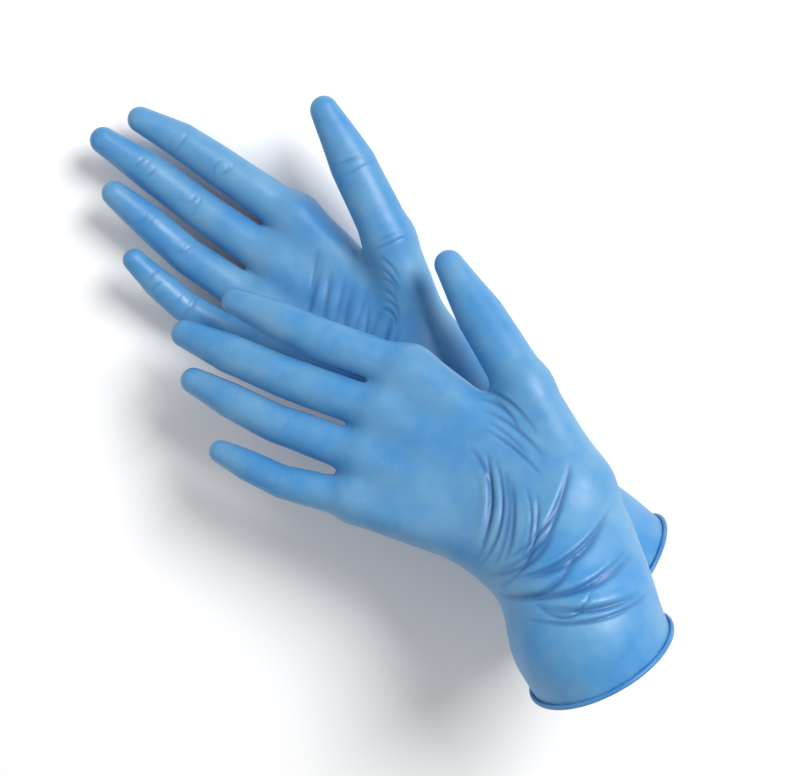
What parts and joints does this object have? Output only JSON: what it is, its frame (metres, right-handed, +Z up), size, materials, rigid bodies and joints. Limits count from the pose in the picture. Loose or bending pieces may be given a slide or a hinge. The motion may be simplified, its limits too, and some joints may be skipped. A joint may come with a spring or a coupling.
{
  "type": "pair of disposable gloves",
  "caption": "Pair of thin long-cuff nitrile gloves in worn shape, one lying palm up with the other palm down across it, open at rolled cuff mouths.",
  "frame": {"origin": "centre of the pair's bounding box in plan, on the table that the lower glove lies on", "axes": "+X along the hands towards the cuffs, +Y towards the thumbs, +Z up from the table"},
  "size_m": [0.3168, 0.1683, 0.1239],
  "materials": {
    "nitrile_film": "dip-moulded nitrile film, sky blue, satin",
    "nitrile_bead": "rolled nitrile film, several layers thick, satin"
  },
  "bodies": {
    "right_glove": {"right_palm": "nitrile_film", "right_index_finger": "nitrile_film", "right_middle_finger": "nitrile_film", "right_ring_finger": "nitrile_film", "right_little_finger": "nitrile_film", "right_thumb": "nitrile_film", "right_cuff": "nitrile_film", "right_cuff_bead": "nitrile_bead"},
    "left_glove": {"left_palm": "nitrile_film", "left_index_finger": "nitrile_film", "left_middle_finger": "nitrile_film", "left_ring_finger": "nitrile_film", "left_little_finger": "nitrile_film", "left_thumb": "nitrile_film", "left_cuff": "nitrile_film", "left_cuff_bead": "nitrile_bead"}
  },
  "joints": [
    {"name": "left_glove_lift", "type": "slide", "parent": "right_glove", "child": "left_glove", "axis": [0, 0, 1], "range_m": [0, 0.15]}
  ]
}
